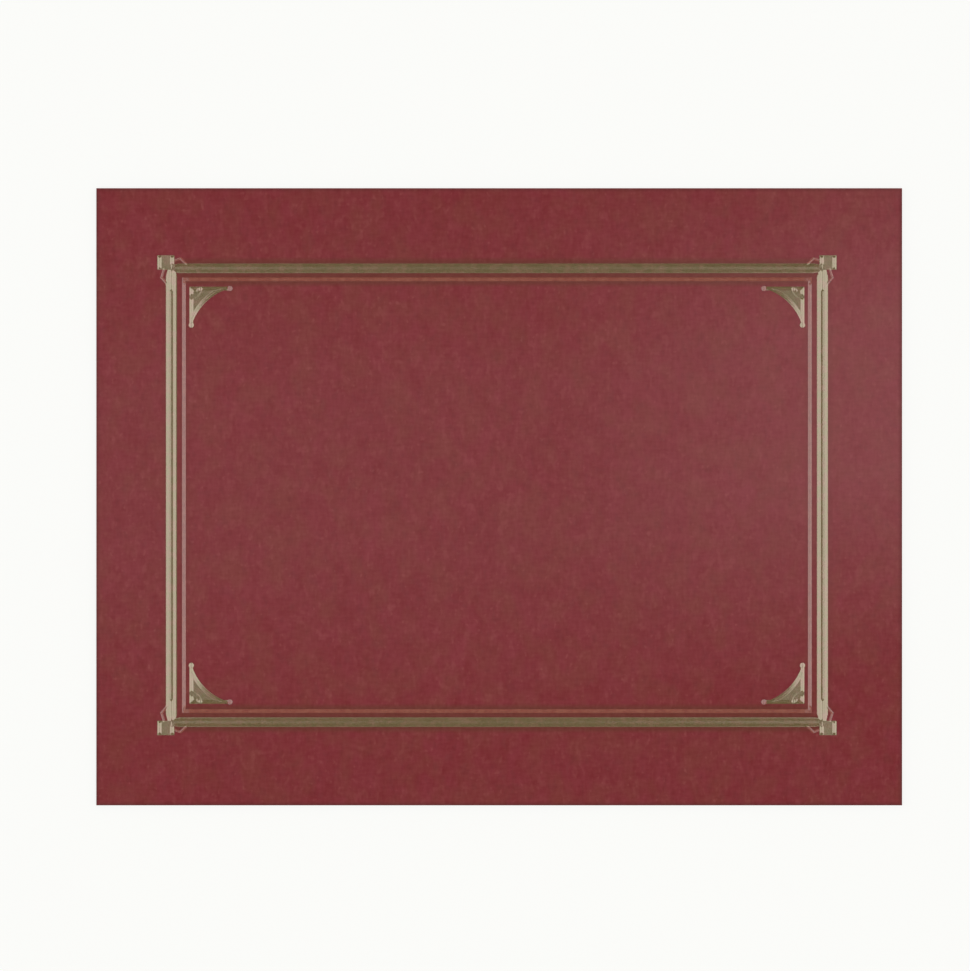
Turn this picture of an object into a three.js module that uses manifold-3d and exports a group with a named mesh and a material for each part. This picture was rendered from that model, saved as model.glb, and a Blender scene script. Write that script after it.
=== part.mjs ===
// Document cover: one sheet of heavy linen-finish card folded once along its long top edge, with a
// border blocked in gold foil on the front leaf. It lies closed, face up.
// Millimetres. +X runs along the fold, +Y points to the fold, +Z is up. The origin is on the ground
// under the middle of the cover.

import * as THREE from 'three';
import { mergeVertices } from 'three/addons/utils/BufferGeometryUtils.js';
import Module from 'manifold-3d';

const wasm = await Module();
wasm.setup();

// Driving dimensions of the card
const coverWidth = 317.5;
const coverDepth = 243.2;
const cardThickness = 0.35;
const leafGap = 0.5;
const foldFacets = 18;

// The letter sheet that the back leaf holds, and the slits that take its corners
const sheetWidth = 279.4;
const sheetDepth = 215.9;
const slitSetback = 25.4;
const slitOverrun = 2.5;
const slitWidth = 0.8;
const slitEndFacets = 6;

// Relief of the blocked foil: its height over the card and the sharp lip at its edge
const foilHeight = 0.3;
const foilLip = 0.1;
const bevelFacets = 3;

// Border: the margins from the card's edges to the centre lines of the outer bars, and how far the
// border was blocked off centre
const borderMarginX = 30.5;
const borderMarginY = 32.2;
const borderShiftX = -0.9;
const borderShiftY = 0.6;

// Outer bars
const sideBarWidth = 4.4;
const endBarWidth = 3.8;
const barBevel = 1.0;
const barTipWidth = 2.8;
const barShoulder = 3.4;
const channelWidth = 1.1;
const channelDepth = 0.16;
const channelSetback = 8.0;

// Blocks where the bars cross
const blockWidth = 6.8;
const blockDepth = 5.7;
const blockShiftX = 2.2;
const blockShiftY = 2.3;
const blockBevel = 1.2;

// Ribbon loops that tie each block to the bars
const loopOut = 3.9;
const loopAlong = 3.6;
const loopFoot = 6.2;
const loopHead = 2.8;
const loopStroke = 0.9;
const loopBevel = 0.3;

// Inner rule
const ruleClearanceX = 2.0;
const ruleClearanceY = 1.7;
const ruleWidth = 1.5;
const ruleBevel = 0.5;

// Corner brackets inside the rule
const bracketClearanceX = 1.4;
const bracketClearanceY = 2.1;
const bracketLengthX = 17.0;
const bracketLengthY = 16.2;
const bracketArm = 1.5;
const bracketThroat = 8.9;
const bracketHollow = 21.8;
const bracketRim = 0.9;
const bracketBevel = 0.4;
const bracketFieldDepth = 0.15;
const bracketArcFacets = 14;
const beadDiameter = 2.1;
const beadBevel = 0.7;
const beadFacets = 20;
const leafWidth = 2.4;
const leafFacets = 10;

const cardMaterial = new THREE.MeshStandardMaterial({ color: 0x803a3d, roughness: 0.85, metalness: 0 });
const foilMaterial = new THREE.MeshStandardMaterial({ color: 0xa0937c, roughness: 0.4, metalness: 0.9 });

const cardTop = 2 * cardThickness + leafGap;
// A channel or field is sunk into the foil by a cut that clears the foil's top
const cutTop = 2 * foilHeight;
const borderWidth = coverWidth - 2 * borderMarginX;
const borderDepth = coverDepth - 2 * borderMarginY;
const corners = [
  { name: 'top_left', x: -1, y: 1 },
  { name: 'top_right', x: 1, y: 1 },
  { name: 'bottom_left', x: -1, y: -1 },
  { name: 'bottom_right', x: 1, y: -1 },
];

// Closed triangle mesh as a solid for cutting and joining
function toSolid(geometry) {
  const bare = geometry.clone();
  bare.deleteAttribute('normal');
  bare.deleteAttribute('uv');
  const merged = mergeVertices(bare);
  return new wasm.Manifold(new wasm.Mesh({
    numProp: 3,
    vertProperties: merged.attributes.position.array,
    triVerts: new Uint32Array(merged.index.array),
  }));
}

function fromSolid(solid) {
  const mesh = solid.getMesh();
  const geometry = new THREE.BufferGeometry();
  geometry.setAttribute('position', new THREE.BufferAttribute(mesh.vertProperties, 3));
  geometry.setIndex(new THREE.BufferAttribute(mesh.triVerts, 1));
  geometry.computeVertexNormals();
  return geometry;
}

function join(geometries) {
  return geometries.map(toSolid).reduce((whole, piece) => whole.add(piece));
}

function flatPlate(shape, low, high, facets = 1) {
  const geometry = new THREE.ExtrudeGeometry(shape, {
    depth: high - low,
    bevelEnabled: false,
    curveSegments: facets,
  });
  geometry.translate(0, 0, low);
  return geometry;
}

// Raised foil: a flat underside at z = 0, a short upright lip and an edge that rounds over to the top
function crownedPlate(shape, bevel) {
  const geometry = new THREE.ExtrudeGeometry(shape, {
    depth: foilLip,
    bevelThickness: foilHeight - foilLip,
    bevelSize: bevel,
    bevelOffset: -bevel,
    bevelSegments: bevelFacets,
  });
  const position = geometry.attributes.position;
  for (let i = 0; i < position.count; i += 1) {
    position.setZ(i, Math.max(position.getZ(i), 0));
  }
  return geometry;
}

function foilMesh(name, solid) {
  const geometry = fromSolid(solid);
  geometry.translate(borderShiftX, borderShiftY, cardTop);
  const mesh = new THREE.Mesh(geometry, foilMaterial);
  mesh.name = name;
  return mesh;
}

function outline(points) {
  return new THREE.Shape(points.map(([x, y]) => new THREE.Vector2(x, y)));
}

function rectangle(width, depth, x = 0, y = 0) {
  return outline([
    [x - width / 2, y - depth / 2],
    [x + width / 2, y - depth / 2],
    [x + width / 2, y + depth / 2],
    [x - width / 2, y + depth / 2],
  ]);
}

// Folded card: the section of the two leaves and the fold, drawn in Y and Z and swept along X
function foldedCard() {
  const foldOuter = cardTop / 2;
  const foldInner = leafGap / 2;
  const foldY = coverDepth / 2 - foldOuter;
  const freeEdge = -coverDepth / 2;
  const section = new THREE.Shape();
  section.moveTo(freeEdge, 0);
  section.lineTo(foldY, 0);
  section.absarc(foldY, foldOuter, foldOuter, -Math.PI / 2, Math.PI / 2, false);
  section.lineTo(freeEdge, cardTop);
  section.lineTo(freeEdge, cardThickness + leafGap);
  section.lineTo(foldY, cardThickness + leafGap);
  section.absarc(foldY, foldOuter, foldInner, Math.PI / 2, -Math.PI / 2, true);
  section.lineTo(freeEdge, cardThickness);
  const swept = flatPlate(section, -coverWidth / 2, coverWidth / 2, foldFacets);
  const position = swept.attributes.position;
  for (let i = 0; i < position.count; i += 1) {
    position.setXYZ(i, position.getZ(i), position.getX(i), position.getY(i));
  }
  return swept;
}

// Round-ended slit through the back leaf, across one corner of the letter sheet
function cornerSlit(corner) {
  const radius = slitWidth / 2;
  const halfLength = slitSetback / Math.SQRT2 + slitOverrun;
  const shape = new THREE.Shape();
  shape.absarc(halfLength, 0, radius, -Math.PI / 2, Math.PI / 2, false);
  shape.absarc(-halfLength, 0, radius, Math.PI / 2, 1.5 * Math.PI, false);
  const cut = flatPlate(shape, -cardThickness, cardThickness + leafGap / 2, slitEndFacets);
  cut.rotateZ(-corner.x * corner.y * Math.PI / 4);
  cut.translate(
    corner.x * (sheetWidth - slitSetback) / 2,
    corner.y * (sheetDepth - slitSetback) / 2,
    0,
  );
  return cut;
}

function coverSheet() {
  const slits = join(corners.map(cornerSlit));
  const mesh = new THREE.Mesh(fromSolid(toSolid(foldedCard()).subtract(slits)), cardMaterial);
  mesh.name = 'cover_sheet';
  return mesh;
}

// Ribbon of foil with one even width along a bent line
function ribbon(points, width) {
  const line = points.map(([x, y]) => new THREE.Vector2(x, y));
  const normals = line.slice(1).map((end, i) => {
    const along = end.clone().sub(line[i]).normalize();
    return new THREE.Vector2(-along.y, along.x);
  });
  const side = (sign) => line.map((point, i) => {
    const before = normals[Math.max(i - 1, 0)];
    const after = normals[Math.min(i, normals.length - 1)];
    const mitre = before.clone().add(after);
    return point.clone().addScaledVector(mitre, (sign * width) / mitre.lengthSq());
  });
  return new THREE.Shape([...side(1), ...side(-1).reverse()]);
}

// Bar that narrows to a tip at each end and has a sunk channel down its middle. It is drawn along one
// axis and placed by a function that turns (along, across) into (x, y).
function bar(length, width, place) {
  const half = length / 2;
  const shoulder = half - barShoulder;
  const edge = [
    [-half, barTipWidth / 2],
    [-shoulder, width / 2],
    [shoulder, width / 2],
    [half, barTipWidth / 2],
  ];
  const otherEdge = edge.map(([along, across]) => [along, -across]).reverse();
  const plate = crownedPlate(outline([...edge, ...otherEdge].map(place)), barBevel);
  const channelHalf = half - channelSetback;
  const channel = outline([
    [-channelHalf, -channelWidth / 2],
    [channelHalf, -channelWidth / 2],
    [channelHalf, channelWidth / 2],
    [-channelHalf, channelWidth / 2],
  ].map(place));
  return toSolid(plate).subtract(toSolid(flatPlate(channel, foilHeight - channelDepth, cutTop)));
}

function block(corner) {
  return crownedPlate(rectangle(
    blockWidth,
    blockDepth,
    corner.x * (borderWidth / 2 + blockShiftX),
    corner.y * (borderDepth / 2 + blockShiftY),
  ), blockBevel);
}

// Ribbon that leaves a bar's outer edge, turns at a peak and ends under the corner block. Along is
// measured back from the crossing of the bars, and out from the bar's centre line.
function ribbonLoop(barWidth, blockNear, place) {
  return crownedPlate(ribbon([
    [loopFoot, barWidth / 2 - loopStroke / 2],
    [loopAlong, loopOut],
    [blockNear - loopStroke / 2, loopHead],
  ].map(place), loopStroke), loopBevel);
}

function frameCorner(corner) {
  const x = corner.x * borderWidth / 2;
  const y = corner.y * borderDepth / 2;
  return [
    block(corner),
    ribbonLoop(
      sideBarWidth,
      blockDepth / 2 - blockShiftY,
      ([along, out]) => [x + corner.x * out, y - corner.y * along],
    ),
    ribbonLoop(
      endBarWidth,
      blockWidth / 2 - blockShiftX,
      ([along, out]) => [x - corner.x * along, y + corner.y * out],
    ),
  ];
}

function outerFrame() {
  const bars = [1, -1].flatMap((sign) => [
    bar(borderWidth, endBarWidth, ([along, across]) => [along, sign * borderDepth / 2 + across]),
    bar(borderDepth, sideBarWidth, ([along, across]) => [sign * borderWidth / 2 + across, along]),
  ]);
  const ornaments = join(corners.flatMap(frameCorner));
  return foilMesh('foil_outer_frame', bars.reduce((whole, piece) => whole.add(piece), ornaments));
}

// Plain rule inside the bars
const ruleOuterWidth = borderWidth - sideBarWidth - 2 * ruleClearanceX;
const ruleOuterDepth = borderDepth - endBarWidth - 2 * ruleClearanceY;

function innerRule() {
  const shape = rectangle(ruleOuterWidth, ruleOuterDepth);
  shape.holes.push(rectangle(ruleOuterWidth - 2 * ruleWidth, ruleOuterDepth - 2 * ruleWidth));
  return foilMesh('foil_inner_rule', toSolid(crownedPlate(shape, ruleBevel)));
}

// Hollow side of a bracket as an arc about a centre out in the page, from one arm's inner edge to the
// other's
const hollowCentre = (bracketThroat + bracketHollow) / Math.SQRT2;

function hollowSide(armEdge, radius) {
  const first = Math.asin((hollowCentre - armEdge) / radius);
  const last = Math.PI / 2 - first;
  return Array.from({ length: bracketArcFacets + 1 }, (_, i) => {
    const angle = first + (last - first) * i / bracketArcFacets;
    return [hollowCentre - radius * Math.cos(angle), hollowCentre - radius * Math.sin(angle)];
  });
}

// Pointed leaf on the bracket's diagonal, from its corner to its throat
function leafOutline() {
  const length = bracketThroat - bracketRim;
  const edge = (side) => Array.from({ length: leafFacets }, (_, i) => {
    const along = bracketRim / 2 + length * i / leafFacets;
    const out = side * leafWidth / 2 * Math.sin(Math.PI * i / leafFacets);
    return [(along - out) / Math.SQRT2, (along + out) / Math.SQRT2];
  });
  const tip = (bracketRim / 2 + length) / Math.SQRT2;
  return [...edge(1), [tip, tip], ...edge(-1).slice(1).reverse()];
}

function circleOutline(x, y, diameter) {
  return Array.from({ length: beadFacets }, (_, i) => {
    const angle = 2 * Math.PI * i / beadFacets;
    return [x + diameter / 2 * Math.cos(angle), y + diameter / 2 * Math.sin(angle)];
  });
}

// Bracket in one corner of the rule: rimmed triangle with a sunk field, a leaf across it, and two arms
// that end in beads
function cornerBracket(corner) {
  const cornerX = corner.x * (ruleOuterWidth / 2 - ruleWidth - bracketClearanceX);
  const cornerY = corner.y * (ruleOuterDepth / 2 - ruleWidth - bracketClearanceY);
  const place = ([inX, inY]) => [cornerX - corner.x * inX, cornerY - corner.y * inY];
  const beadX = bracketLengthX - beadDiameter / 2;
  const beadY = bracketLengthY - beadDiameter / 2;
  const plate = [
    [0, 0],
    [beadX, 0],
    [beadX, bracketArm],
    ...hollowSide(bracketArm, bracketHollow),
    [bracketArm, beadY],
    [0, beadY],
  ];
  const beads = [
    circleOutline(beadX, bracketArm / 2, beadDiameter),
    circleOutline(bracketArm / 2, beadY, beadDiameter),
  ];
  const field = [[bracketRim, bracketRim], ...hollowSide(bracketRim, bracketHollow + bracketRim)];
  const fieldFloor = foilHeight - bracketFieldDepth;
  const cut = (points) => toSolid(flatPlate(outline(points.map(place)), fieldFloor, cutTop));
  const raised = join([
    crownedPlate(outline(plate.map(place)), bracketBevel),
    ...beads.map((points) => crownedPlate(outline(points.map(place)), beadBevel)),
  ]);
  const sunk = cut(field).subtract(cut(leafOutline()));
  return foilMesh(`foil_bracket_${corner.name}`, raised.subtract(sunk));
}

const root = new THREE.Group();
root.add(coverSheet(), outerFrame(), innerRule(), ...corners.map(cornerBracket));

export default root;
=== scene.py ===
import math

import bpy
import numpy as np
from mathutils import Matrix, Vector
from mathutils.geometry import delaunay_2d_cdt


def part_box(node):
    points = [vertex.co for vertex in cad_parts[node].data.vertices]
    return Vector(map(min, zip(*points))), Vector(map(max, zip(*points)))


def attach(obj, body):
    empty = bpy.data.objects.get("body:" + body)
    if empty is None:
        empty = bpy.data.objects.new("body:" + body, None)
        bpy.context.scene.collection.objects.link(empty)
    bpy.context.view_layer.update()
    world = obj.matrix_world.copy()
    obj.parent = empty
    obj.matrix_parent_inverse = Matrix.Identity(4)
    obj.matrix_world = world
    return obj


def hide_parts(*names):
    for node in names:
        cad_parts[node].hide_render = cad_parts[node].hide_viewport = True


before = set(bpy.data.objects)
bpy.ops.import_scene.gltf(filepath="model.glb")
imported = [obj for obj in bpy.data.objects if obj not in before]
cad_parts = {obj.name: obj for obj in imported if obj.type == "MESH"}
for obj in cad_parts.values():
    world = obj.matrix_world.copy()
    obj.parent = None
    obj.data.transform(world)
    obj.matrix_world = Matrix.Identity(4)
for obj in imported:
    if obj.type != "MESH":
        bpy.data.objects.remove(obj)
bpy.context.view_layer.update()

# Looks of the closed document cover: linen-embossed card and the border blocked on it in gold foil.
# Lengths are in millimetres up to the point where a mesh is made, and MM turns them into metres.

MM = 0.001


def node_box(name):
    low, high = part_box(name)
    return np.array(low) / MM, np.array(high) / MM


SHEET_LOW, SHEET_HIGH = node_box("cover_sheet")
FRAME_LOW, FRAME_HIGH = node_box("foil_outer_frame")
RULE_LOW, RULE_HIGH = node_box("foil_inner_rule")
CARD_TOP = SHEET_HIGH[2]
FOIL_HEIGHT = RULE_HIGH[2] - CARD_TOP

# Card
CARD_THICKNESS = 0.35
EDGE_ROUNDING = 0.08
FOLD_STEPS = 20
LEAF_STEP = 4.0
CARD_COLUMNS = 80
COCKLE = 0.06
COCKLE_LENGTHS = (31.0, 43.0, 57.0)
COCKLE_PHASES = (0.7, -0.4, 2.1)
COCKLE_SLANTED = 0.6
COCKLE_FADE = 40.0

# Slits across the corners of the letter sheet
SHEET_WIDTH = 279.4
SHEET_DEPTH = 215.9
SLIT_SETBACK = 25.4
SLIT_OVERRUN = 2.5
SLIT_WIDTH = 0.8
SLIT_END_STEPS = 8

# Foil
FOIL_LIP = 0.03
FOIL_SUNK = 0.03
SIDE_BAR = 4.4
END_BAR = 3.8
RULE_GAP = np.array([2.0, 1.7])
RULE_WIDTH = 1.5
RULE_HEIGHT = 0.26
CREST = 0.12
BAR_TIP = 2.8
BAR_SHOULDER = 3.4
BEAD_CREST = 0.41
CHANNEL_SHARE = 0.28
CHANNEL_FLOOR = 0.72
CHANNEL_SWELL = 0.1
CHANNEL_SETBACK = 8.0
CHANNEL_END = 1.2
BLOCK = np.array([6.8, 5.7])
BLOCK_BEAD = 1.9
BLOCK_END = 1.2
BLOCK_FIELD = 0.25
CUT_SHARE = 0.6
CUT = (0.2, 1.0)
LOOP_OUT = 3.9
LOOP_ALONG = 3.6
LOOP_FOOT = 6.2
LOOP_HEAD = 2.8
LOOP_END = np.array([1.2, 0.55])
LOOP_STROKE = 1.0
LOOP_HEIGHT = 0.18
INNER_LEG = 0.4
BRACKET_ARM = 1.5
BRACKET_THROAT = 8.9
BRACKET_HOLLOW = 21.8
BRACKET_FOLDS = (0.0, 0.78, 1.56)
FOLD_SHARES = (0.0, 1.0, 0.3)
MITRE = 0.35
BOSS_RING = 4.1
BOSS_RING_HALF = 1.2
BOSS_RING_WALL = 0.7
BOSS_RING_SHARE = 0.25
ARC_STEPS = 40
LOBE_AT = (3.3, 1.0)
LOBE = (1.3, 1.0)
LOBE_SQUASH = 0.7
LOBE_SHARE = 0.8
BEAD = 2.1
BEAD_SQUASH = 0.35
BEAD_STEPS = 32

# Spacing of the relief's points
GRID_STEP = 0.14
CORNER_REACH = 11.0
CORNER_STEP = 0.2
BAR_STEP = 1.5
EDGE_GAP = 0.06
FRAME_EDGE = 0.4
RULE_EDGE = 0.8
BRACKET_EDGE = 0.2
BAR_ROWS = (0.1, 0.26, 0.3, 0.38, 0.44, 0.7)
RULE_ROWS = (-0.8, -0.4, -0.15, 0.0, 0.15, 0.4, 0.8)
SLOPE_STEP = 0.02
MERGE = 1e-6

WIDTHS = ((0, END_BAR), (1, SIDE_BAR))
BORDER_CENTRE = (RULE_LOW[:2] + RULE_HIGH[:2]) / 2
BORDER_HALF = (RULE_HIGH[:2] - RULE_LOW[:2]) / 2 + RULE_GAP + np.array([SIDE_BAR, END_BAR]) / 2
CORNERS = {
    "top_left": np.array([-1.0, 1.0]),
    "top_right": np.array([1.0, 1.0]),
    "bottom_left": np.array([-1.0, -1.0]),
    "bottom_right": np.array([1.0, -1.0]),
}


# Shape helpers

def cockle(points):
    """Depth in mm of the front leaf's slow waves under its highest level, 0 at the fold."""
    x, y = points[:, 0], points[:, 1]
    places = np.stack([x, y, x + y])
    turns = (places.T / COCKLE_LENGTHS + COCKLE_PHASES).T
    wave = np.sin(turns[0]) * np.cos(turns[1]) + COCKLE_SLANTED * np.sin(turns[2])
    highest = 1.0 + COCKLE_SLANTED
    fade = np.clip((SHEET_HIGH[1] - y) / COCKLE_FADE, 0.0, 1.0)
    return -COCKLE * fade * (wave + highest) / (2 * highest)


def smooth(value, low, high):
    t = np.clip((value - low) / (high - low), 0.0, 1.0)
    return t * t * (3.0 - 2.0 * t)


def ridge(offset, half):
    """Roof-shaped cross-section with a slightly rounded crest, 1 on the centre line and 0 at the edge."""
    share = np.clip(np.abs(offset) / half, 0.0, 1.0)
    return 1.0 - (np.sqrt(share ** 2 + CREST ** 2) - CREST) / (math.sqrt(1.0 + CREST ** 2) - CREST)


def relief(share, height=FOIL_HEIGHT):
    """Height over the card of foil that is raised by a share of its full height."""
    return FOIL_LIP + (height - FOIL_LIP) * share


def resampled(polygon, step):
    """The same outline turning left, with its long edges cut into steps."""
    following = np.roll(polygon, -1, axis=0)
    if np.sum(polygon[:, 0] * following[:, 1] - following[:, 0] * polygon[:, 1]) < 0:
        polygon = polygon[::-1]
    points = []
    for start, end in zip(polygon, np.roll(polygon, -1, axis=0)):
        count = max(1, int(np.linalg.norm(end - start) / step))
        points += [start + (end - start) * i / count for i in range(count)]
    return np.array(points)


def segment_distance(points, start, end):
    along = end - start
    t = np.clip((points - start) @ along / (along @ along), 0.0, 1.0)
    return np.linalg.norm(points - start - t[:, None] * along, axis=1)


def line_distance(points, line):
    return np.min([segment_distance(points, a, b) for a, b in zip(line, line[1:])], axis=0)


def inside(points, polygon):
    """True for each point inside the polygon, by counting the edges that a ray crosses."""
    found = np.zeros(len(points), bool)
    x, y = points[:, 0], points[:, 1]
    for (x0, y0), (x1, y1) in zip(polygon, np.roll(polygon, -1, axis=0)):
        if y0 != y1:
            crosses = (y0 > y) != (y1 > y)
            found ^= crosses & (x < x0 + (y - y0) * (x1 - x0) / (y1 - y0))
    return found


def ribbon_outline(line, width):
    """Outline of a stroke of even width along a bent line, mitred at its bends."""
    line = np.array(line)
    along = np.diff(line, axis=0)
    along /= np.linalg.norm(along, axis=1)[:, None]
    normals = np.stack([-along[:, 1], along[:, 0]], axis=1)
    mitres = np.vstack([normals[:1], normals]) + np.vstack([normals, normals[-1:]])
    offset = width * mitres / (mitres ** 2).sum(axis=1)[:, None]
    return np.vstack([line + offset, (line - offset)[::-1]])


def grid_over(low, high, step):
    xs = np.arange(low[0], high[0] + step, step)
    ys = np.arange(low[1], high[1] + step, step)
    return np.stack(np.meshgrid(xs, ys), axis=-1).reshape(-1, 2)


def runs(line, keep):
    """The stretches of a line of points that are kept."""
    groups = np.split(np.arange(len(line)), np.flatnonzero(np.diff(keep)) + 1)
    return [line[group] for group in groups if keep[group[0]] and len(group) > 1]


def slope(height_at, points):
    """Rise of a height function along X and Y, by differences over a short step."""
    steps = np.array([(SLOPE_STEP, 0.0), (0.0, SLOPE_STEP)])
    rises = [height_at(points + step) - height_at(points - step) for step in steps]
    return np.stack(rises, axis=1) / (2 * SLOPE_STEP)


def clear_of_edges(points, outlines):
    """True for each point that lies inside an outline and isn't close to any outline's edge."""
    keep = np.zeros(len(points), bool)
    for outline in outlines:
        keep |= inside(points, outline)
    for outline in outlines:
        closed = np.vstack([outline, outline[:1]])
        near = keep.copy()
        near[keep] = line_distance(points[keep], closed) < EDGE_GAP
        keep &= ~near
    return keep


def triangulated(outlines, rows, grid):
    """Triangles over the union of the outlines, with the number of the outline that each belongs to. Edges
    follow the rows, and the grid's points are free."""
    if len(rows):
        ends = np.cumsum([len(row) for row in rows])[:-1]
        keep = np.split(clear_of_edges(np.vstack(rows), outlines), ends)
        rows = [run for row, within in zip(rows, keep) for run in runs(row, within)]
    faces, start = [], 0
    for outline in outlines:
        faces.append(list(range(start, start + len(outline))))
        start += len(outline)
    lines = []
    for row in rows:
        lines += [(start + i, start + i + 1) for i in range(len(row) - 1)]
        start += len(row)
    points = [Vector(p) for p in np.vstack([*outlines, *rows, grid[clear_of_edges(grid, outlines)]])]
    flat, _, triangles, _, _, owners = delaunay_2d_cdt(points, lines, faces, 1, MERGE)
    owned = [(t, min(owner)) for t, owner in zip(triangles, owners) if owner]
    return np.array([tuple(p) for p in flat]), np.array([t for t, _ in owned]), [part for _, part in owned]


def relief_mesh(name, flat, triangles, height, rise):
    """Closed mesh on the card. Its top is smooth with the normals of the rise, its edges are sharp and its
    underside is sunk into the card. The top's faces come first."""
    ground = CARD_TOP + cockle(flat)
    top = np.column_stack([flat, ground + height]) * MM
    base = np.column_stack([flat, ground - FOIL_SUNK]) * MM
    count = len(flat)
    edges = {(a, b) for t in triangles.tolist() for a, b in zip(t, t[1:] + t[:1])}
    rim = [(a, b) for a, b in edges if (b, a) not in edges]
    walls = [(b, a, a + count, b + count) for a, b in rim]
    lower = triangles[:, ::-1] + count
    mesh = bpy.data.meshes.new(name)
    mesh.from_pydata(np.vstack([top, base]).tolist(), [], triangles.tolist() + lower.tolist() + walls)
    smooth_faces = np.zeros(len(mesh.polygons), bool)
    smooth_faces[: len(triangles)] = True
    mesh.polygons.foreach_set("use_smooth", smooth_faces)
    rim = {frozenset(edge) for edge in rim}
    for edge in mesh.edges:
        edge.use_edge_sharp = frozenset(edge.vertices) in rim
    facing = np.column_stack([-rise, np.ones(count)])
    facing /= np.linalg.norm(facing, axis=1)[:, None]
    normals = np.zeros((len(mesh.loops), 3))
    normals[: triangles.size] = facing[triangles.ravel()]
    mesh.normals_split_custom_set(normals.tolist())
    return mesh


def foil_piece(name, parts, rows, grid, edge_step, node, materials):
    """Closed relief over the union of parts, which are (outline, height function, covers). Where outlines
    overlap the higher part shows, or the later one when it covers. materials holds one for each part."""
    outlines = [resampled(np.array(outline), edge_step) for outline, _, _ in parts]
    flat, triangles, owners = triangulated(outlines, rows, grid)
    height = np.full(len(flat), FOIL_LIP)
    rise = np.zeros((len(flat), 2))
    for outline, height_at, covers in parts:
        within = np.flatnonzero(inside(flat, outline))
        raised = height_at(flat[within])
        higher = covers | (raised > height[within])
        height[within[higher]] = raised[higher]
        rise[within[higher]] = slope(height_at, flat[within[higher]])
    mesh = relief_mesh(name, flat, triangles, height, rise)
    kinds = list(dict.fromkeys(materials))
    for kind in kinds:
        mesh.materials.append(kind)
    chosen = np.zeros(len(mesh.polygons), np.int32)
    chosen[: len(triangles)] = [kinds.index(materials[part]) for part in owners]
    mesh.polygons.foreach_set("material_index", chosen)
    piece = bpy.data.objects.new(name, mesh)
    bpy.context.scene.collection.objects.link(piece)
    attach(piece, "root")
    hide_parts(node)


# Parts of the border. Each returns an outline, a function that gives its height at points and whether it
# covers the parts under it.

def bar_half_width(along, half, width):
    return np.interp(np.abs(along), [half - BAR_SHOULDER, half], [width / 2, BAR_TIP / 2])


def bar_part(centre, axis, half, width):
    """Outer bar along an axis: two beads with a channel between them, whose floor swells a little. It turns
    into a groove at the ends of the side bars."""
    def height_at(points):
        local = points - centre
        along, across = np.abs(local[:, axis]), np.abs(local[:, 1 - axis])
        share = across / bar_half_width(along, half, width)
        outside = np.clip((1.0 - share) / (1.0 - BEAD_CREST), 0.0, 1.0)
        groove = share / BEAD_CREST
        step = np.clip((BEAD_CREST - share) / (BEAD_CREST - CHANNEL_SHARE), 0.0, 1.0)
        swell = np.clip(1.0 - share / CHANNEL_SHARE, 0.0, 1.0)
        channel = 1.0 - (1.0 - CHANNEL_FLOOR) * step + CHANNEL_SWELL * swell
        stretch = smooth(along, half - CHANNEL_SETBACK - CHANNEL_END, half - CHANNEL_SETBACK)
        middle = channel + (groove - channel) * stretch if axis == 1 else channel
        return relief(np.where(share > BEAD_CREST, outside, middle))

    shoulder = half - BAR_SHOULDER
    edge = [(-half, BAR_TIP / 2), (-shoulder, width / 2), (shoulder, width / 2), (half, BAR_TIP / 2)]
    outline = edge + [(a, -c) for a, c in reversed(edge)]
    placed = [centre + (np.array(p) if axis == 0 else np.array(p[::-1])) for p in outline]
    return np.array(placed), height_at, False


def bar_rows(centre, axis, half, width):
    """Rows of points that follow the lines of a bar's cross-section."""
    shares = np.array(BAR_ROWS)
    shares = np.concatenate([-shares[::-1], [0.0], shares])
    end = half - CORNER_REACH
    dense = np.arange(end, half, CORNER_STEP)
    along = np.concatenate([-dense[::-1], np.arange(-end, end, BAR_STEP), dense])
    across = shares[:, None] * bar_half_width(along, half, width)
    rows = np.stack([np.broadcast_to(along, across.shape), across], axis=-1)
    return list(centre + (rows if axis == 0 else rows[:, :, ::-1]))


def block_part(corner):
    """Block at a crossing: an upright bead on each side of a shallow field."""
    outer = np.where(corner > 0, FRAME_HIGH[:2], FRAME_LOW[:2])
    centre = outer - corner * BLOCK / 2

    def height_at(points):
        local = (points - centre) * corner
        ends = smooth(BLOCK[1] / 2 - np.abs(local[:, 1]), 0.0, BLOCK_END)
        outer_bead = ridge(local[:, 0] - (BLOCK[0] / 2 - BLOCK_BEAD / 2), BLOCK_BEAD / 2)
        inner_bead = ridge(local[:, 0] + (BLOCK[0] / 2 - BLOCK_BEAD / 2), BLOCK_BEAD / 2)
        inner_bead *= 1.0 - CUT_SHARE * smooth(-local[:, 1], *CUT)
        return relief(ends * np.maximum(np.maximum(outer_bead, inner_bead), BLOCK_FIELD))

    box = np.array([(-1, -1), (1, -1), (1, 1), (-1, 1)]) * BLOCK / 2
    return centre + box, height_at, True


def loop_part(corner, axis, bar_width):
    """Ribbon that leaves a bar's outer edge, turns at a peak and ends under the block."""
    crossing = BORDER_CENTRE + corner * BORDER_HALF
    line = []
    for along, out in (
        (LOOP_FOOT, bar_width / 2 - LOOP_STROKE / 2),
        (LOOP_ALONG, LOOP_OUT),
        (LOOP_END[axis] - LOOP_STROKE / 2, LOOP_HEAD),
    ):
        step = np.array([-along, out]) if axis == 0 else np.array([out, -along])
        line.append(crossing + corner * step)

    def height_at(points):
        outer_leg = ridge(line_distance(points, line[:2]), LOOP_STROKE / 2)
        inner_leg = ridge(line_distance(points, line[1:]), LOOP_STROKE / 2)
        return relief(np.maximum(outer_leg, INNER_LEG * inner_leg), LOOP_HEIGHT)

    return ribbon_outline(line, LOOP_STROKE), height_at, False


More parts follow.
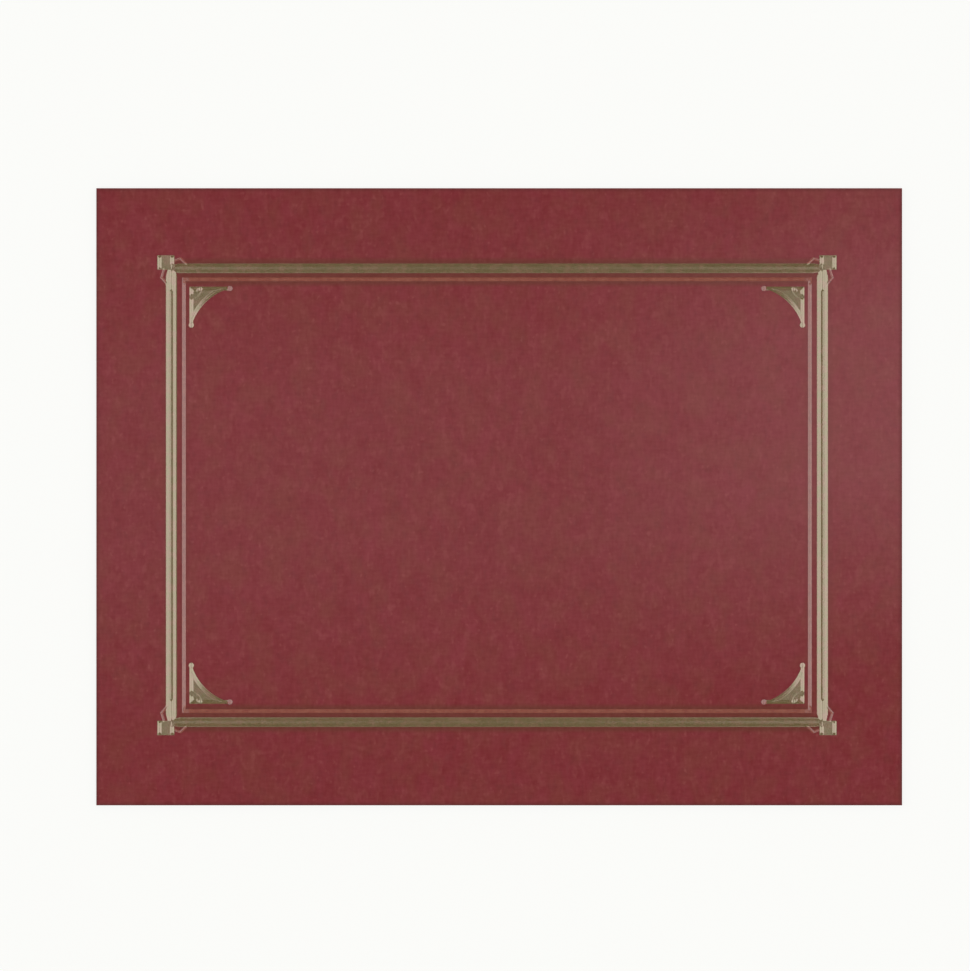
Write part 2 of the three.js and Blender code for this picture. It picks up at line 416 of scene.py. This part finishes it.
def rule_part(start, end):
    line = [np.array(start), np.array(end)]

    def height_at(points):
        return relief(ridge(line_distance(points, line), RULE_WIDTH / 2), RULE_HEIGHT)

    reach = RULE_WIDTH / 2
    low, high = np.minimum(*line) - reach, np.maximum(*line) + reach
    return np.array([low, (high[0], low[1]), high, (low[0], high[1])]), height_at, False


def bracket_parts(corner, name):
    """Hollow triangle with a ridge along its outline, a sunk ring around its corner, a lobe on the ring and
    two arms that end in beads."""
    low, high = node_box(name)
    overhang = (BEAD - BRACKET_ARM) / 2
    square = np.where(corner > 0, high[:2], low[:2]) - corner * overhang
    reach = high[:2] - low[:2] - overhang
    centre = (BRACKET_THROAT + BRACKET_HOLLOW) / math.sqrt(2)
    bead_at = reach - BEAD / 2
    first = math.asin((centre - BRACKET_ARM) / BRACKET_HOLLOW)
    angles = np.linspace(first, math.pi / 2 - first, ARC_STEPS)
    arc = centre - BRACKET_HOLLOW * np.column_stack([np.cos(angles), np.sin(angles)])
    plate = np.vstack([
        [(0, 0), (bead_at[0], 0), (bead_at[0], BRACKET_ARM)],
        arc,
        [(BRACKET_ARM, bead_at[1]), (0, bead_at[1])],
    ])

    def plate_height(points):
        local = (square - points) * corner
        outer = -np.log(np.exp(-local / MITRE).sum(axis=1)) * MITRE
        hollow = np.linalg.norm(local - centre, axis=1) - BRACKET_HOLLOW
        share = np.interp(np.minimum(outer, hollow), BRACKET_FOLDS, FOLD_SHARES)
        from_corner = np.linalg.norm(local, axis=1)
        ring = smooth(BOSS_RING_HALF - np.abs(from_corner - BOSS_RING), 0.0, BOSS_RING_WALL)
        share += (BOSS_RING_SHARE - share) * ring
        across, along = ((local - LOBE_AT) / LOBE).T
        lobe = LOBE_SHARE * ridge(np.hypot(across, LOBE_SQUASH * along), 1.0)
        return relief(np.maximum(share, lobe))

    turns = np.linspace(0, 2 * math.pi, BEAD_STEPS, endpoint=False)
    disc = BEAD / 2 * np.column_stack([np.cos(turns), np.sin(turns)])
    parts = []
    for local in ((bead_at[0], BRACKET_ARM / 2), (BRACKET_ARM / 2, bead_at[1])):
        middle = square - corner * np.array(local)

        def bead_height(points, at=middle):
            return relief(ridge(np.linalg.norm((points - at) * (1.0, BEAD_SQUASH), axis=1), BEAD / 2))

        parts.append((middle + disc, bead_height, False))
    return parts + [(square - corner * plate, plate_height, False)]


def make_frame(gold, film):
    bars, rows = [], []
    for sign in (1, -1):
        for axis, width in WIDTHS:
            centre = BORDER_CENTRE.copy()
            centre[1 - axis] += sign * BORDER_HALF[1 - axis]
            bars.append(bar_part(centre, axis, BORDER_HALF[axis], width))
            rows += bar_rows(centre, axis, BORDER_HALF[axis], width)
    loops = [loop_part(corner, axis, width) for axis, width in WIDTHS for corner in CORNERS.values()]
    blocks = [block_part(corner) for corner in CORNERS.values()]
    for block, _, _ in blocks:
        rows = [run for row in rows for run in runs(row, ~inside(row, block))]
    grids = []
    for outline, _, _ in loops + blocks:
        grid = grid_over(outline.min(axis=0), outline.max(axis=0), GRID_STEP)
        grids.append(grid[inside(grid, outline)])
    materials = [gold] * len(bars + blocks) + [film] * len(loops)
    foil_piece("foil_frame_relief", bars + blocks + loops, rows, np.vstack(grids), FRAME_EDGE,
               "foil_outer_frame", materials)


def make_rule(film):
    low, high = RULE_LOW[:2] + RULE_WIDTH / 2, RULE_HIGH[:2] - RULE_WIDTH / 2
    posts = [low, np.array((high[0], low[1])), high, np.array((low[0], high[1]))]
    rules, rows = [], []
    for start, end in zip(posts, posts[1:] + posts[:1]):
        length = np.linalg.norm(end - start)
        along = (end - start) / length
        reach = along * RULE_WIDTH / 2
        run = np.linspace(start - reach, end + reach, int(length / BAR_STEP))
        side = np.array([-along[1], along[0]]) * RULE_WIDTH / 2
        rows += [run + side * share for share in RULE_ROWS]
        rules.append(rule_part(start, end))
    foil_piece("foil_rule_relief", rules, rows, np.zeros((0, 2)), RULE_EDGE, "foil_inner_rule",
               [film] * len(rules))


def make_brackets(gold, film):
    for label, corner in CORNERS.items():
        node = f"foil_bracket_{label}"
        grid = grid_over(*node_box(node), GRID_STEP)
        foil_piece(f"foil_bracket_relief_{label}", bracket_parts(corner, node), [], grid, BRACKET_EDGE, node,
                   [film, gold, gold])


# Card

def sheet_section():
    """Closed outline of the folded sheet, as points in Y and Z."""
    fold_outer = CARD_TOP / 2
    fold_inner = fold_outer - CARD_THICKNESS
    fold_y = SHEET_HIGH[1] - fold_outer
    free = SHEET_LOW[1]
    leaf = np.linspace(free + EDGE_ROUNDING, fold_y, int((fold_y - free) / LEAF_STEP))
    turns = np.linspace(-math.pi / 2, math.pi / 2, FOLD_STEPS)[1:-1]
    loop = [(y, 0.0) for y in leaf]
    loop += [(fold_y + fold_outer * math.cos(a), fold_outer + fold_outer * math.sin(a)) for a in turns]
    loop += [(y, CARD_TOP) for y in leaf[::-1]]
    loop += [(free, CARD_TOP - EDGE_ROUNDING), (free, CARD_TOP - CARD_THICKNESS + EDGE_ROUNDING)]
    loop += [(y, CARD_TOP - CARD_THICKNESS) for y in leaf]
    loop += [(fold_y + fold_inner * math.cos(a), fold_outer - fold_inner * math.sin(a)) for a in turns]
    loop += [(y, CARD_THICKNESS) for y in leaf[::-1]]
    loop += [(free, CARD_THICKNESS - EDGE_ROUNDING), (free, EDGE_ROUNDING)]
    return np.array(loop)


def slit_cutter(corner):
    half = SLIT_SETBACK / math.sqrt(2) + SLIT_OVERRUN
    turns = np.linspace(-math.pi / 2, math.pi / 2, SLIT_END_STEPS)
    cap = SLIT_WIDTH / 2 * np.column_stack([np.cos(turns), np.sin(turns)])
    ring = np.vstack([cap + (half, 0), -cap - (half, 0)])
    angle = -corner[0] * corner[1] * math.pi / 4
    spin = np.array([[math.cos(angle), -math.sin(angle)], [math.sin(angle), math.cos(angle)]])
    middle = corner * (np.array([SHEET_WIDTH, SHEET_DEPTH]) - SLIT_SETBACK) / 2
    return ring @ spin.T + middle


def make_card():
    loop = sheet_section()
    low, high = SHEET_LOW[0], SHEET_HIGH[0]
    rows = [low, *np.linspace(low + EDGE_ROUNDING, high - EDGE_ROUNDING, CARD_COLUMNS), high]
    on_top = loop[:, 1] > CARD_TOP / 2
    verts = []
    for x in rows:
        section = np.column_stack([np.full(len(loop), x), loop])
        if x in (low, high):
            section = inset_section(section)
        section[on_top, 2] += cockle(section[on_top, :2])
        verts.append(section)
    verts = np.vstack(verts) * MM
    count = len(loop)
    faces = []
    for row in range(len(rows) - 1):
        for i in range(count):
            j = (i + 1) % count
            faces.append((row * count + i, (row + 1) * count + i, (row + 1) * count + j, row * count + j))
    last = (len(rows) - 1) * count
    faces.append(tuple(range(count)))
    faces.append(tuple(last + i for i in reversed(range(count))))
    mesh = bpy.data.meshes.new("card_sheet")
    mesh.from_pydata(verts.tolist(), [], faces)
    card = bpy.data.objects.new("card_sheet", mesh)
    bpy.context.scene.collection.objects.link(card)
    cut_slits(card)
    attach(card, "root")
    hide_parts("cover_sheet")
    return card


def inset_section(section):
    """The section drawn in by the edge's rounding, for the sheet's cut ends."""
    loop = section[:, 1:]
    before, after = np.roll(loop, 1, axis=0), np.roll(loop, -1, axis=0)
    along = after - before
    along /= np.linalg.norm(along, axis=1)[:, None]
    inward = np.stack([-along[:, 1], along[:, 0]], axis=1)
    drawn = section.copy()
    drawn[:, 1:] = loop + inward * EDGE_ROUNDING
    return drawn


def cut_slits(card):
    low, high = -CARD_THICKNESS, CARD_TOP / 2
    verts, faces = [], []
    for corner in CORNERS.values():
        ring = slit_cutter(corner)
        start, count = len(verts), len(ring)
        verts += [(x * MM, y * MM, low * MM) for x, y in ring]
        verts += [(x * MM, y * MM, high * MM) for x, y in ring]
        faces.append(tuple(start + i for i in reversed(range(count))))
        faces.append(tuple(start + count + i for i in range(count)))
        for i in range(count):
            j = (i + 1) % count
            faces.append((start + i, start + j, start + count + j, start + count + i))
    mesh = bpy.data.meshes.new("slits")
    mesh.from_pydata(verts, [], faces)
    cutter = bpy.data.objects.new("slits", mesh)
    bpy.context.scene.collection.objects.link(cutter)
    cut = card.modifiers.new("slits", "BOOLEAN")
    cut.operation = "DIFFERENCE"
    cut.solver = "EXACT"
    cut.object = cutter
    bpy.context.view_layer.update()
    done = bpy.data.meshes.new_from_object(card.evaluated_get(bpy.context.evaluated_depsgraph_get()))
    card.modifiers.clear()
    card.data = done
    bpy.data.objects.remove(cutter)


# Materials

# Patterns, in waves per metre, and how much finer they are along X, Y and Z
THREAD_RUN = 260.0
THREAD_PITCH = 800.0
THREAD_DEPTH = 60.0
CLOUD = 26.0
WARMTH = 110.0
WARMTH_STRETCH = (1.0, 0.8, 1.3)
BLOTCH = 190.0
MOTTLE = 400.0
LEVEL_STRETCH = (1.0, 0.65, 1.0)
SPECK = 620.0
SPECK_STRETCH = (1.0, 0.75, 1.0)
FIBRE = 5200.0
THIN = 420.0
PATCH = 900.0

# Range of a pattern, then the shares that its ends turn into
BLOTCH_RANGE = (0.3, 0.7)
CLOUD_RANGE = (0.3, 0.7, 0.0, 0.5)
WARMTH_RANGE = (0.42, 0.66, 0.0, 0.6)
DARK_MOTTLE_RANGE = (0.3, 0.4, 0.2, 0.0)
PALE_MOTTLE_RANGE = (0.58, 0.72, 0.0, 0.11)
SPECK_RANGE = (0.66, 0.8, 0.0, 0.18)
# Painted shade in the linen's thread grooves and painted highlight on its ridges
THREAD_SHADING_RANGE = (0.75, 1.25)
CARD_ROUGHNESS_RANGE = (0.7, 1.3, 0.78, 0.62)
GOLD_THIN_RANGE = (0.42, 0.68)
GOLD_METAL_RANGE = (0.0, 1.0, 0.87, 0.8)
GOLD_ROUGHNESS_RANGE = (0.3, 0.7, 0.16, 0.2)
FILM_THIN_RANGE = (0.35, 0.65)
FILM_ROUGHNESS_RANGE = (0.3, 0.7, 0.18, 0.24)

# Places on the card in metres, and shares of the painted shade and painted sheen that are laid on there
# Strip of painted shade between the bars and the rule
BAND_OUTER = (0.0028, 0.0045)
BAND_INNER = (-0.0075, -0.0058)
BAND_CORNER = 0.002
BAND_SHARES = (0.75, 0.25)
# Band of painted sheen over the middle, strongest towards the right margin
SHEEN_SIDE = (0.02, 0.155)
SHEEN_SHARES = (0.05, 0.13)
SHEEN_CENTRE = (0.01, 0.04)
SHEEN_REACH = (0.03, 0.11)
# Band of painted shade along the sheet's outline
EDGE_SHADE_REACH = (0.0002, 0.0016)
EDGE_SHADE_SHARE = 0.5

# Depth in metres and strength of a grain
LINEN_GRAIN = (0.00007, 0.4)
FIBRE_GRAIN = (0.00001, 0.3)
FOIL_GRAIN = (0.000003, 0.3)

# Shares of painted shade in the thread grooves and painted highlight on the thread ridges
THREAD_SHADE_SHARE = 0.05
THREAD_HIGHLIGHT_SHARE = 0.03
CARD_SHEEN = 0.35
FILM_IOR = 2.55


class Nodes:
    """Short names for the node types that the materials use."""

    def __init__(self, name):
        self.material = bpy.data.materials.new(name)
        self.material.use_nodes = True
        self.tree = self.material.node_tree
        self.shader = self.tree.nodes["Principled BSDF"]
        self.place = self.add("ShaderNodeTexCoord").outputs["Object"]

    def add(self, kind, **settings):
        node = self.tree.nodes.new(kind)
        for key, value in settings.items():
            setattr(node, key, value)
        return node

    def link(self, value, socket):
        if isinstance(value, bpy.types.NodeSocket):
            self.tree.links.new(value, socket)
        else:
            socket.default_value = value

    def math(self, operation, *values):
        node = self.add("ShaderNodeMath", operation=operation)
        for value, socket in zip(values, node.inputs):
            self.link(value, socket)
        return node.outputs[0]

    def noise(self, scale, detail=2.0, roughness=0.5, stretch=(1, 1, 1)):
        mapping = self.add("ShaderNodeMapping")
        mapping.inputs["Scale"].default_value = [scale * s for s in stretch]
        self.link(self.place, mapping.inputs["Vector"])
        node = self.add("ShaderNodeTexNoise")
        node.inputs["Scale"].default_value = 1.0
        node.inputs["Detail"].default_value = detail
        node.inputs["Roughness"].default_value = roughness
        self.link(mapping.outputs[0], node.inputs["Vector"])
        return node.outputs["Fac"]

    def between(self, value, low, high, to_low=0.0, to_high=1.0):
        node = self.add("ShaderNodeMapRange")
        for socket, number in zip(node.inputs, (value, low, high, to_low, to_high)):
            self.link(number, socket)
        return node.outputs[0]

    def mix(self, factor, first, second):
        node = self.add("ShaderNodeMix", data_type="RGBA")
        self.link(factor, node.inputs[0])
        self.link(first, node.inputs[6])
        self.link(second, node.inputs[7])
        return node.outputs[2]

    def bump(self, height, distance, strength=1.0, under=None):
        node = self.add("ShaderNodeBump")
        node.inputs["Distance"].default_value = distance
        node.inputs["Strength"].default_value = strength
        self.link(height, node.inputs["Height"])
        if under is not None:
            self.link(under, node.inputs["Normal"])
        return node.outputs[0]


def srgb(red, green, blue):
    def linear(value):
        value /= 255
        return value / 12.92 if value <= 0.04045 else ((value + 0.055) / 1.055) ** 2.4
    return (linear(red), linear(green), linear(blue), 1.0)


CARD_DEEP = srgb(122, 27, 39)
CARD_ROSE = srgb(132, 41, 56)
CARD_CLOUD = srgb(123, 39, 48)
CARD_WARM = srgb(124, 52, 48)
CARD_DARK = srgb(104, 34, 40)
CARD_PALE = srgb(168, 96, 98)
# Painted shade laid on the strip between the bars and the rule
CARD_PAINTED_SHADE = srgb(103, 46, 34)
# Painted sheen laid over the middle of the card
CARD_PAINTED_SHEEN = srgb(200, 150, 164)
# Painted shade along the sheet's outline
CARD_EDGE_SHADE = srgb(70, 20, 22)
# Painted shade for the linen's thread grooves and painted highlight for its ridges
THREAD_SHADE = (0.02, 0.003, 0.004, 1.0)
THREAD_HIGHLIGHT = srgb(190, 120, 122)
GOLD_FULL = (0.56, 0.45, 0.285, 1.0)
GOLD_THIN = (0.62, 0.43, 0.31, 1.0)
FILM_FULL = srgb(150, 84, 78)
FILM_THIN = srgb(142, 70, 68)
FILM_TINT = (1.0, 0.9, 0.76, 1.0)


def linen(nodes):
    """Height of the linen embossing: threads along the fold and across it, of uneven thickness."""
    across = nodes.noise(1.0, stretch=(THREAD_RUN, THREAD_PITCH, THREAD_DEPTH))
    along = nodes.noise(1.0, stretch=(THREAD_PITCH, THREAD_RUN, THREAD_DEPTH))
    return nodes.math("ADD", across, along)


def painted_shade_band(nodes):
    """Share of painted shade on the strip of card under and between the bars and the rule, darkened where
    shade falls between the raised foil parts.
    It fades out at the strip's sides and is stronger along the level bars."""
    split = nodes.add("ShaderNodeSeparateXYZ")
    nodes.link(nodes.place, split.inputs[0])
    reach = []
    for axis in (0, 1):
        offset = nodes.math("SUBTRACT", split.outputs[axis], BORDER_CENTRE[axis] * MM)
        reach.append(nodes.math("SUBTRACT", nodes.math("ABSOLUTE", offset), BORDER_HALF[axis] * MM))
    outward = nodes.math("MAXIMUM", *reach)
    outer = nodes.between(outward, *BAND_OUTER, 1.0, 0.0)
    inner = nodes.between(outward, *BAND_INNER)
    share = nodes.between(nodes.math("SUBTRACT", *reach), -BAND_CORNER, BAND_CORNER, *BAND_SHARES)
    return nodes.math("MULTIPLY", nodes.math("MULTIPLY", outer, inner), share)


def painted_sheen_side(nodes):
    """Share of painted sheen: a paler haze painted over the middle, strongest towards the right margin."""
    split = nodes.add("ShaderNodeSeparateXYZ")
    nodes.link(nodes.place, split.inputs[0])
    outward = nodes.between(split.outputs[0], *SHEEN_SIDE, *SHEEN_SHARES)
    centre = nodes.between(split.outputs[0], 0.0, SHEEN_SIDE[1], *SHEEN_CENTRE)
    away = nodes.math("ABSOLUTE", nodes.math("SUBTRACT", split.outputs[1], centre))
    return nodes.math("MULTIPLY", outward, nodes.between(away, *SHEEN_REACH, 1.0, 0.0))


def painted_edge_shade(nodes):
    """Share of painted shade along the sheet's outline, darkening the card where its rounded cut edge turns
    from the light.
    """
    split = nodes.add("ShaderNodeSeparateXYZ")
    nodes.link(nodes.place, split.inputs[0])
    gaps = []
    for axis in (0, 1):
        outward = nodes.math("ABSOLUTE", split.outputs[axis])
        gaps.append(nodes.math("SUBTRACT", SHEET_HIGH[axis] * MM, outward))
    return nodes.between(nodes.math("MINIMUM", *gaps), *EDGE_SHADE_REACH, EDGE_SHADE_SHARE, 0.0)


def card_material():
    nodes = Nodes("linen_card")
    threads = linen(nodes)
    blotch = nodes.noise(BLOTCH, 3.0, 0.6, LEVEL_STRETCH)
    cloud = nodes.noise(CLOUD)
    warmth = nodes.noise(WARMTH, stretch=WARMTH_STRETCH)
    mottle = nodes.noise(MOTTLE, 1.0, 0.5, LEVEL_STRETCH)
    speck = nodes.noise(SPECK, 1.0, 0.4, SPECK_STRETCH)
    base = nodes.mix(nodes.between(blotch, *BLOTCH_RANGE), CARD_DEEP, CARD_ROSE)
    base = nodes.mix(nodes.between(cloud, *CLOUD_RANGE), base, CARD_CLOUD)
    base = nodes.mix(nodes.between(warmth, *WARMTH_RANGE), base, CARD_WARM)
    base = nodes.mix(nodes.between(mottle, *DARK_MOTTLE_RANGE), base, CARD_DARK)
    base = nodes.mix(nodes.between(mottle, *PALE_MOTTLE_RANGE), base, CARD_PALE)
    base = nodes.mix(nodes.between(speck, *SPECK_RANGE), base, CARD_PALE)
    # Painted shade: the strip between the bars and the rule is darkened, more along the level bars
    base = nodes.mix(painted_shade_band(nodes), base, CARD_PAINTED_SHADE)
    # Painted sheen: a paler haze over the middle, strongest towards the right margin
    base = nodes.mix(painted_sheen_side(nodes), base, CARD_PAINTED_SHEEN)
    # Painted shade: the card is darkened along its outline
    base = nodes.mix(painted_edge_shade(nodes), base, CARD_EDGE_SHADE)
    # Painted shade and highlight of the linen: darker in the thread grooves, lighter on the thread ridges
    dark = nodes.mix(THREAD_SHADE_SHARE, base, THREAD_SHADE)
    light = nodes.mix(THREAD_HIGHLIGHT_SHARE, base, THREAD_HIGHLIGHT)
    tone = nodes.mix(nodes.between(threads, *THREAD_SHADING_RANGE), dark, light)
    nodes.link(tone, nodes.shader.inputs["Base Color"])
    nodes.link(nodes.between(threads, *CARD_ROUGHNESS_RANGE), nodes.shader.inputs["Roughness"])
    nodes.shader.inputs["Specular IOR Level"].default_value = CARD_SHEEN
    fibre = nodes.noise(FIBRE, 2.0, 0.6)
    grain = nodes.bump(threads, *LINEN_GRAIN, nodes.bump(fibre, *FIBRE_GRAIN))
    nodes.link(grain, nodes.shader.inputs["Normal"])
    return nodes.material


def gold_foil():
    """Full foil of the bars, blocks and brackets, redder where it lies thin."""
    nodes = Nodes("gold_foil")
    thin = nodes.between(nodes.noise(THIN), *GOLD_THIN_RANGE)
    nodes.link(nodes.mix(thin, GOLD_FULL, GOLD_THIN), nodes.shader.inputs["Base Color"])
    nodes.link(nodes.between(thin, *GOLD_METAL_RANGE), nodes.shader.inputs["Metallic"])
    patch = nodes.noise(PATCH, 2.0, 0.6)
    nodes.link(nodes.between(patch, *GOLD_ROUGHNESS_RANGE), nodes.shader.inputs["Roughness"])
    nodes.link(nodes.bump(linen(nodes), *FOIL_GRAIN), nodes.shader.inputs["Normal"])
    return nodes.material


def gold_film():
    """Thin foil of the rule and the loops: the card's red with a clear metal sheen on it."""
    nodes = Nodes("gold_film")
    thin = nodes.between(nodes.noise(THIN), *FILM_THIN_RANGE)
    nodes.link(nodes.mix(thin, FILM_FULL, FILM_THIN), nodes.shader.inputs["Base Color"])
    nodes.shader.inputs["IOR"].default_value = FILM_IOR
    nodes.shader.inputs["Specular Tint"].default_value = FILM_TINT
    patch = nodes.noise(PATCH, 2.0, 0.6)
    nodes.link(nodes.between(patch, *FILM_ROUGHNESS_RANGE), nodes.shader.inputs["Roughness"])
    nodes.link(nodes.bump(linen(nodes), *FOIL_GRAIN), nodes.shader.inputs["Normal"])
    return nodes.material


# Stage, light and camera

PIXEL = 0.394
IMAGE_WIDTH, IMAGE_HEIGHT = 970, 971
COVER_AT = (499.2, 496.74)
FLOOR_REACH = 12.0
FLOOR_GLOW = 0.86
FLOOR_COLOUR = srgb(250, 250, 247)
FLOOR_GLOW_COLOUR = srgb(254, 255, 254)
FLOOR_ROUGHNESS = 0.9
FLOOR_SHEEN = 0.1
LENS = 260.0
SENSOR = 36.0
PANEL_COLOUR = (0.855, 0.975, 1.21)
HORIZON = 3.15
ZENITH = 0.125
HORIZON_TOP = 0.7
HORIZON_COLOUR = (1.0, 0.955, 0.86, 1.0)
ZENITH_COLOUR = (1.0, 0.82, 0.42, 1.0)
BOX_DISTANCE = 2.4
BOX_ANGLE = math.radians(42.0)
BOX_SIZE = (1.9, 3.3)
BOX_POWER = {"left_softbox": (-1, 15.2), "right_softbox": (1, 16.0)}


def make_camera():
    """Straight down on the cover, with the cover's place and size in the picture as photographed."""
    data = bpy.data.cameras.new("camera")
    data.sensor_width = SENSOR
    data.lens = LENS
    camera = bpy.data.objects.new("camera", data)
    bpy.context.scene.collection.objects.link(camera)
    distance = LENS / SENSOR * max(IMAGE_WIDTH, IMAGE_HEIGHT) * PIXEL
    camera.location = (
        (IMAGE_WIDTH / 2 - COVER_AT[0]) * PIXEL * MM,
        (COVER_AT[1] - IMAGE_HEIGHT / 2) * PIXEL * MM,
        (distance + CARD_TOP) * MM,
    )
    bpy.context.scene.camera = camera


def soft_light(name, place, size, power, colour):
    data = bpy.data.lights.new(name, "AREA")
    data.shape = "RECTANGLE"
    data.size, data.size_y = size
    data.energy = power
    data.color = colour
    lamp = bpy.data.objects.new(name, data)
    lamp.location = place
    lamp.rotation_euler = Vector(place).to_track_quat("Z", "Y").to_euler()
    bpy.context.scene.collection.objects.link(lamp)


def make_floor():
    """White paper that also glows to the camera and in mirrors, so that it is even behind the cover."""
    floor_mesh = bpy.data.meshes.new("floor")
    square = [(x * FLOOR_REACH, y * FLOOR_REACH, 0) for x, y in ((-1, -1), (1, -1), (1, 1), (-1, 1))]
    floor_mesh.from_pydata(square, [], [(0, 1, 2, 3)])
    floor = bpy.data.objects.new("floor", floor_mesh)
    bpy.context.scene.collection.objects.link(floor)
    nodes = Nodes("floor_paper")
    nodes.shader.inputs["Base Color"].default_value = FLOOR_COLOUR
    nodes.shader.inputs["Roughness"].default_value = FLOOR_ROUGHNESS
    nodes.shader.inputs["Specular IOR Level"].default_value = FLOOR_SHEEN
    rays = nodes.add("ShaderNodeLightPath")
    seen = nodes.math("MAXIMUM", rays.outputs["Is Camera Ray"], rays.outputs["Is Glossy Ray"])
    seen = nodes.math("MAXIMUM", seen, rays.outputs["Is Transmission Ray"])
    glow = nodes.add("ShaderNodeEmission")
    glow.inputs["Color"].default_value = FLOOR_GLOW_COLOUR
    glow.inputs["Strength"].default_value = 1.0
    blend = nodes.add("ShaderNodeMixShader")
    nodes.link(nodes.math("MULTIPLY", seen, FLOOR_GLOW), blend.inputs[0])
    nodes.link(nodes.shader.outputs[0], blend.inputs[1])
    nodes.link(glow.outputs[0], blend.inputs[2])
    nodes.link(blend.outputs[0], nodes.tree.nodes["Material Output"].inputs["Surface"])
    floor_mesh.materials.append(nodes.material)


def make_sky():
    """Dim warm overhead that brightens towards the horizon."""
    world = bpy.data.worlds.new("studio")
    world.use_nodes = True
    tree = world.node_tree
    background = tree.nodes["Background"]
    direction = tree.nodes.new("ShaderNodeTexCoord")
    split = tree.nodes.new("ShaderNodeSeparateXYZ")
    fall = tree.nodes.new("ShaderNodeMapRange")
    for socket, number in zip(fall.inputs[1:], (0.0, HORIZON_TOP, HORIZON, ZENITH)):
        socket.default_value = number
    tree.links.new(direction.outputs["Generated"], split.inputs[0])
    tree.links.new(split.outputs["Z"], fall.inputs[0])
    tree.links.new(fall.outputs[0], background.inputs["Strength"])
    height = tree.nodes.new("ShaderNodeMapRange")
    height.inputs["From Max"].default_value = HORIZON_TOP
    tree.links.new(split.outputs["Z"], height.inputs[0])
    tint = tree.nodes.new("ShaderNodeMix")
    tint.data_type = "RGBA"
    tree.links.new(height.outputs[0], tint.inputs[0])
    tint.inputs[6].default_value = HORIZON_COLOUR
    tint.inputs[7].default_value = ZENITH_COLOUR
    tree.links.new(tint.outputs[2], background.inputs["Color"])
    bpy.context.scene.world = world


def make_softboxes():
    for name, (side, power) in BOX_POWER.items():
        place = (side * BOX_DISTANCE * math.sin(BOX_ANGLE), 0.0, BOX_DISTANCE * math.cos(BOX_ANGLE))
        soft_light(name, place, BOX_SIZE, power, PANEL_COLOUR)


make_camera()
make_floor()
make_sky()
make_softboxes()
card = make_card()
card.data.materials.clear()
card.data.materials.append(card_material())
gold, film = gold_foil(), gold_film()
make_frame(gold, film)
make_rule(film)
make_brackets(gold, film)

bpy.context.scene.view_settings.view_transform = "Standard"
bpy.context.view_layer.update()
